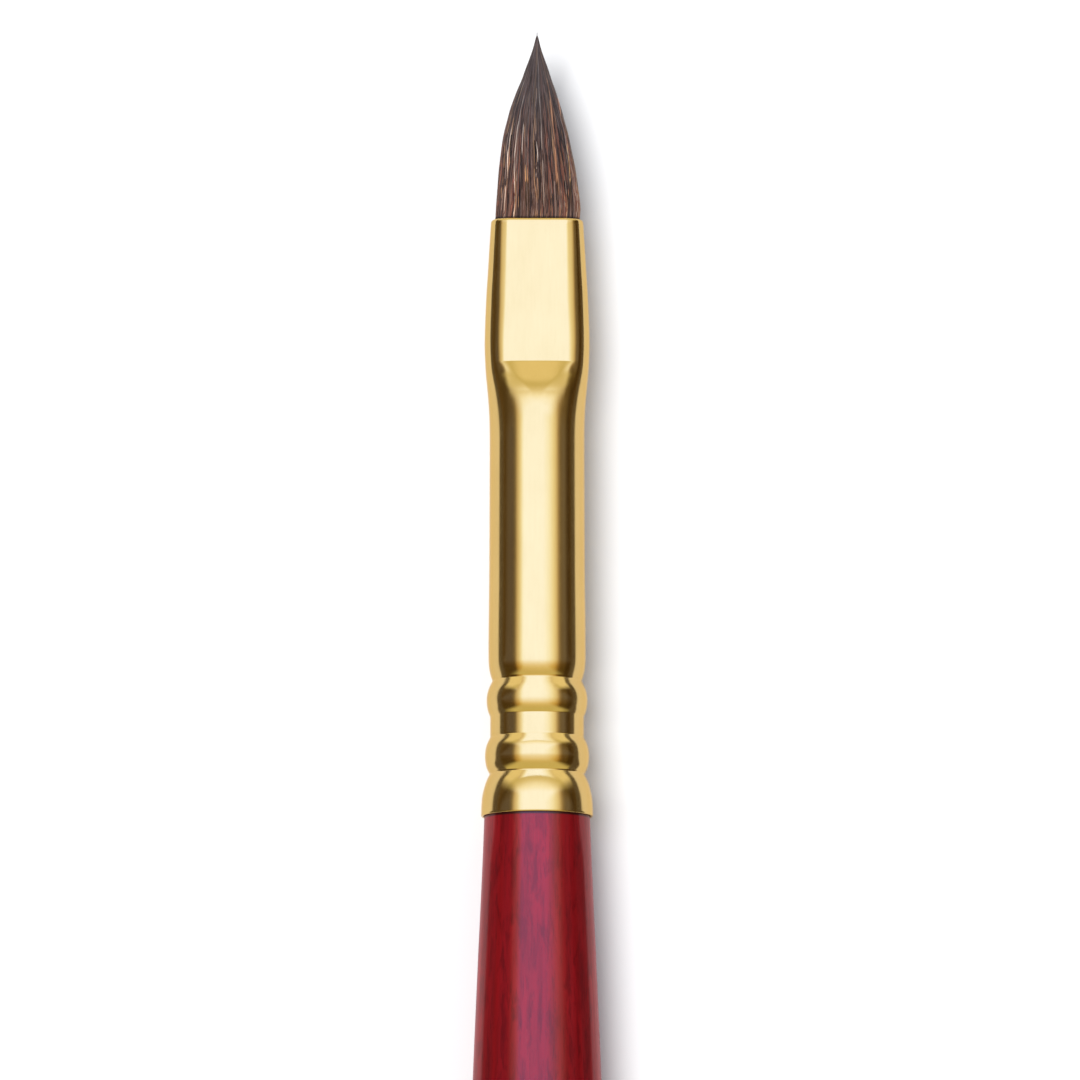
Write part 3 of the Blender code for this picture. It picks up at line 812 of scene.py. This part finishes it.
# ------------------------------------------------------------------- floor, light
def floor():
    n = Nodes("pale_studio_floor")
    soft = n.noise(n.place((3.0, 3.0, 3.0)), detail=2.0)
    n.link(n.mix(n.span(soft, 0.3, 0.7, 0.0, 1.0), (0.895, 0.895, 0.895), (0.905, 0.905, 0.905)), "Base Color")
    n.set(Roughness=1.0, IOR=1.01)
    # black flags lie along both sides of the set, closer in along the handle: only
    # mirror reflections see them
    at = n.add("ShaderNodeSeparateXYZ", {0: n.add("ShaderNodeTexCoord").outputs["Object"]})
    closer = n.span(at.outputs[0], x_of(58.5), x_of(52.5), 1.8, 1.0, "SMOOTHSTEP")
    away = n.math("MULTIPLY", n.math("ABSOLUTE", at.outputs[1]), closer)
    aside = n.span(away, 0.027, 0.034, 0.0, 1.0, "SMOOTHSTEP")
    flag = n.math("MULTIPLY", aside, n.add("ShaderNodeLightPath").outputs["Is Glossy Ray"])
    dark = n.add("ShaderNodeEmission", {"Color": (0.15, 0.13, 0.11, 1.0), "Strength": 1.0})
    pick = n.add("ShaderNodeMixShader", {0: flag})
    n.tree.links.new(n.shader.outputs[0], pick.inputs[1])
    n.tree.links.new(dark.outputs[0], pick.inputs[2])
    out = [k for k in n.tree.nodes if k.type == "OUTPUT_MATERIAL"][0]
    n.tree.links.new(pick.outputs[0], out.inputs["Surface"])
    half = 30.0
    me = bpy.data.meshes.new("studio_floor")
    me.from_pydata([(-half, -half, 0), (half, -half, 0), (half, half, 0), (-half, half, 0)], [], [(0, 1, 2, 3)])
    me.materials.append(n.material)
    obj = bpy.data.objects.new("studio_floor", me)
    bpy.context.scene.collection.objects.link(obj)
    obj.location.z = CAD_LO.z


FULL = (1.62, 2.05, 3.60)
ACROSS = ((-100, (0.20, 0.17, 0.13)), (-88, (0.15, 0.126, 0.10)), (-78, (0.11, 0.085, 0.065)),
          (-69, (0.24, 0.22, 0.22)), (-61, (0.23, 0.20, 0.17)), (-57, (0.30, 0.25, 0.18)),
          (-52.5, (0.55, 0.46, 0.32)), (-47, (1.08, 1.04, 0.84)), (-39, (1.38, 1.50, 1.52)),
          (-26, (1.56, 1.90, 2.85)), (-14, FULL), (33, FULL), (36, (1.55, 1.85, 2.4)),
          (42, (1.24, 1.27, 1.14)), (49, (0.86, 0.78, 0.60)), (54, (0.26, 0.22, 0.15)),
          (60, (0.17, 0.15, 0.15)), (75, (0.18, 0.16, 0.17)), (100, (0.20, 0.17, 0.13)))


def card():
    """A small overhead card over the tube, seen only in mirror reflections: it carries
    the softbox's own colours across, and lights the steep fronts of the beads."""
    n = Nodes("reflector_card")
    height, radius, reach = 9.9, 3.4, 0.0093
    y = n.add("ShaderNodeSeparateXYZ", {0: n.add("ShaderNodeTexCoord").outputs["Object"]}).outputs[1]
    stops = []
    for angle, colour in ACROSS:
        turn = math.radians(abs(angle))
        if abs(angle) > 50:
            continue
        away = radius * math.sin(turn / 2) + (height - radius * math.cos(turn / 2)) * math.tan(turn)
        stops.append((0.5 + math.copysign(away, angle) * MM / (2 * reach), tuple(c / 4.0 for c in colour)))
    glow = n.add("ShaderNodeEmission", {"Color": n.ramp(n.span(y, -reach, reach, 0.0, 1.0), stops),
                                        "Strength": 4.0})
    out = [k for k in n.tree.nodes if k.type == "OUTPUT_MATERIAL"][0]
    n.tree.links.new(glow.outputs[0], out.inputs["Surface"])
    x0, x1, z = x_of(46.0), x_of(25.6), AXIS_Z + height * MM
    me = bpy.data.meshes.new("reflector_card")
    me.from_pydata([(x0, -reach, z), (x0, reach, z), (x1, reach, z), (x1, -reach, z)], [], [(0, 1, 2, 3)])
    me.materials.append(n.material)
    obj = bpy.data.objects.new("reflector_card", me)
    bpy.context.scene.collection.objects.link(obj)
    obj.visible_camera = False
    obj.visible_diffuse = False
    obj.visible_shadow = False
    obj.visible_transmission = False
    obj.visible_volume_scatter = False


def studio():
    """A soft key from above and a little to the left, an even fill, and for mirror
    reflections a long softbox overhead with dark gaps at both sides."""
    sun = bpy.data.lights.new("soft_key", "SUN")
    sun.energy = 2.42
    sun.angle = math.radians(28.0)
    key = bpy.data.objects.new("soft_key", sun)
    bpy.context.scene.collection.objects.link(key)
    toward = Vector((0.0, math.sin(math.radians(14.0)), math.cos(math.radians(14.0))))
    key.rotation_mode = "QUATERNION"
    key.rotation_quaternion = toward.to_track_quat("Z", "Y")
    key.visible_glossy = False

    world = bpy.data.worlds.new("studio")
    bpy.context.scene.world = world
    world.use_nodes = True
    tree = world.node_tree
    tree.nodes.clear()
    links = tree.links

    def add(kind, **settings):
        node = tree.nodes.new(kind)
        for key_, value in settings.items():
            setattr(node, key_, value)
        return node

    def calc(operation, a, b=0.0):
        node = add("ShaderNodeMath", operation=operation)
        for i, value in enumerate((a, b)):
            if isinstance(value, bpy.types.NodeSocket):
                links.new(value, node.inputs[i])
            else:
                node.inputs[i].default_value = value
        return node.outputs[0]

    def colour_mix(factor, a, b):
        node = add("ShaderNodeMix", data_type="RGBA")
        for socket, value in ((node.inputs[0], factor), (node.inputs[6], a), (node.inputs[7], b)):
            if isinstance(value, bpy.types.NodeSocket):
                links.new(value, socket)
            else:
                socket.default_value = value
        return node.outputs[2]

    def span(value, lo, hi, to_lo, to_hi, kind="LINEAR"):
        node = add("ShaderNodeMapRange", interpolation_type=kind)
        links.new(value, node.inputs["Value"])
        for socket, number in (("From Min", lo), ("From Max", hi), ("To Min", to_lo), ("To Max", to_hi)):
            node.inputs[socket].default_value = number
        return node.outputs["Result"]

    where = add("ShaderNodeTexCoord")
    split = add("ShaderNodeSeparateXYZ")
    links.new(where.outputs["Generated"], split.inputs[0])
    x, y, z = split.outputs
    roll = calc("ARCTAN2", y, z)
    full = FULL
    scale = 4.0

    def ramp_of(value, stops):
        node = add("ShaderNodeValToRGB")
        links.new(value, node.inputs["Fac"])
        fill_ramp(node.color_ramp, [(p, tuple(c / scale for c in colour)) for p, colour in stops])
        boost = add("ShaderNodeVectorMath", operation="SCALE")
        links.new(node.outputs["Color"], boost.inputs[0])
        boost.inputs["Scale"].default_value = scale
        return boost.outputs[0]

    def at(degrees):
        return (degrees + 180.0) / 360.0

    across = ramp_of(span(roll, -math.pi, math.pi, 0.0, 1.0), [(at(a), c) for a, c in ACROSS])

    # how bright it is towards the hair (positive) and towards the handle (negative)
    def share(*colour):
        return tuple(c / f for c, f in zip(colour, full))

    pitch = calc("ARCTAN2", x, z)
    fade = add("ShaderNodeValToRGB")
    links.new(span(pitch, -math.pi, math.pi, 0.0, 1.0), fade.inputs["Fac"])
    fill_ramp(fade.color_ramp, (
        (at(-37), share(0.92, 0.90, 0.51)), (at(-30), share(0.96, 0.90, 0.53)),
        (at(-20), share(1.11, 1.06, 0.72)), (at(-12), share(1.27, 1.27, 1.16)),
        (at(-7), share(1.41, 1.57, 1.95)), (at(-1), (1.0, 1.0, 1.0)), (at(24), (1.0, 1.0, 1.0)),
        (at(33), share(1.54, 1.77, 2.28)), (at(41), share(1.16, 1.18, 0.98)),
        (at(50), share(0.94, 0.92, 0.56)), (at(55), share(0.98, 0.96, 0.62)),
        (at(62), share(1.22, 1.21, 0.92)), (at(80), share(1.25, 1.24, 0.96))))
    sideways = calc("SQRT", calc("ADD", calc("MULTIPLY", x, x), calc("MULTIPLY", y, y)))
    ends = span(calc("DIVIDE", calc("ABSOLUTE", x), calc("MAXIMUM", sideways, 0.0001)),
                0.40, 0.64, 0.0, 1.0, "SMOOTHSTEP")
    open_sky = colour_mix(ends, across, (*full, 1.0))
    mirrored = add("ShaderNodeVectorMath", operation="MULTIPLY")
    links.new(open_sky, mirrored.inputs[0])
    links.new(fade.outputs["Color"], mirrored.inputs[1])
    mirrored = mirrored.outputs[0]
    path = add("ShaderNodeLightPath")
    seen = colour_mix(path.outputs["Is Glossy Ray"], (0.545, 0.553, 0.578, 1.0), mirrored)
    seen = colour_mix(path.outputs["Is Camera Ray"], seen, (1.0, 1.0, 1.0, 1.0))
    back = add("ShaderNodeBackground")
    links.new(seen, back.inputs["Color"])
    out = add("ShaderNodeOutputWorld")
    links.new(back.outputs[0], out.inputs["Surface"])
    world.cycles.sampling_method = "NONE"


def camera():
    """From nearly straight above, 7.5 degrees towards the handle, with a long lens."""
    data = bpy.data.cameras.new("camera")
    data.sensor_width = 36.0
    data.lens = 420.0
    data.clip_start, data.clip_end = 0.01, 50.0
    cam = bpy.data.objects.new("camera", data)
    bpy.context.scene.collection.objects.link(cam)
    target = Vector((0.063425, -0.000207, AXIS_Z))
    tilt = math.radians(7.5)
    back = Vector((-math.sin(tilt), 0.0, math.cos(tilt)))
    right = Vector((1.0, 0.0, 0.0)).cross(back).normalized()
    up = back.cross(right)
    cam.matrix_world = matrix_of(right, up, back, target + back * 0.9)
    bpy.context.scene.camera = cam


def matrix_of(right, up, back, place):
    return Matrix(((right.x, up.x, back.x, place.x), (right.y, up.y, back.y, place.y),
                   (right.z, up.z, back.z, place.z), (0.0, 0.0, 0.0, 1.0)))


floor()
card()
studio()
camera()
bpy.context.scene.view_settings.view_transform = "Standard"
bpy.context.scene.view_settings.look = "None"
